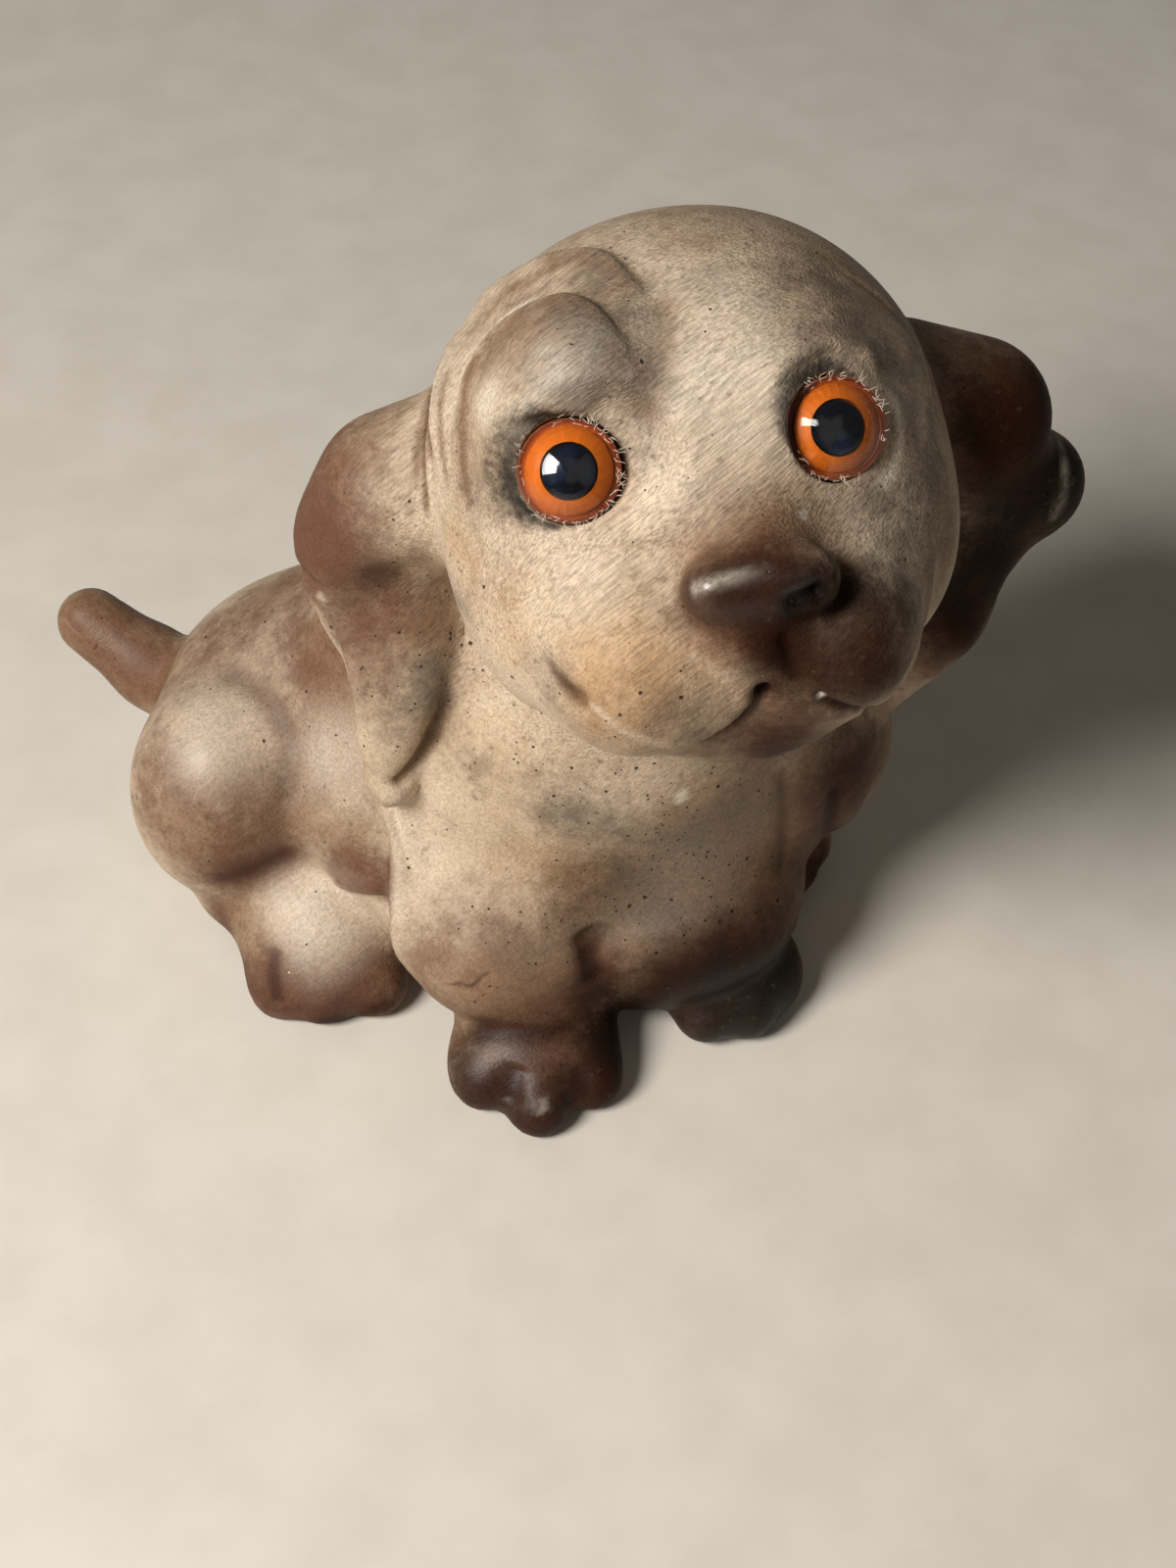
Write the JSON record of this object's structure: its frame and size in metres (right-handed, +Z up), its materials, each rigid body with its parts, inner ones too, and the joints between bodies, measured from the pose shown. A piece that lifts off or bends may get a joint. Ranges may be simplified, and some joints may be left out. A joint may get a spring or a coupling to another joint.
{
  "type": "dog figurine",
  "caption": "Sitting puppy figurine moulded in one piece of foam rubber, with drooping ears, folded paws and round plastic eyes.",
  "frame": {"origin": "middle of the figurine's box, on the floor that it sits on", "axes": "+X towards the dog's left, -Y the way its chest faces, +Z up"},
  "size_m": [0.1612, 0.1045, 0.1358],
  "materials": {
    "brown_rubber": "satin moulded foam rubber, tan with chocolate and grey-brown shading",
    "clear_plastic": "clear polished domed cap",
    "orange_plastic": "gloss",
    "black_plastic": "gloss"
  },
  "bodies": {
    "root": {"body": "brown_rubber", "left_eye_lens": "clear_plastic", "left_eye_iris": "orange_plastic", "left_eye_pupil": "black_plastic", "right_eye_lens": "clear_plastic", "right_eye_iris": "orange_plastic", "right_eye_pupil": "black_plastic"}
  },
  "joints": []
}
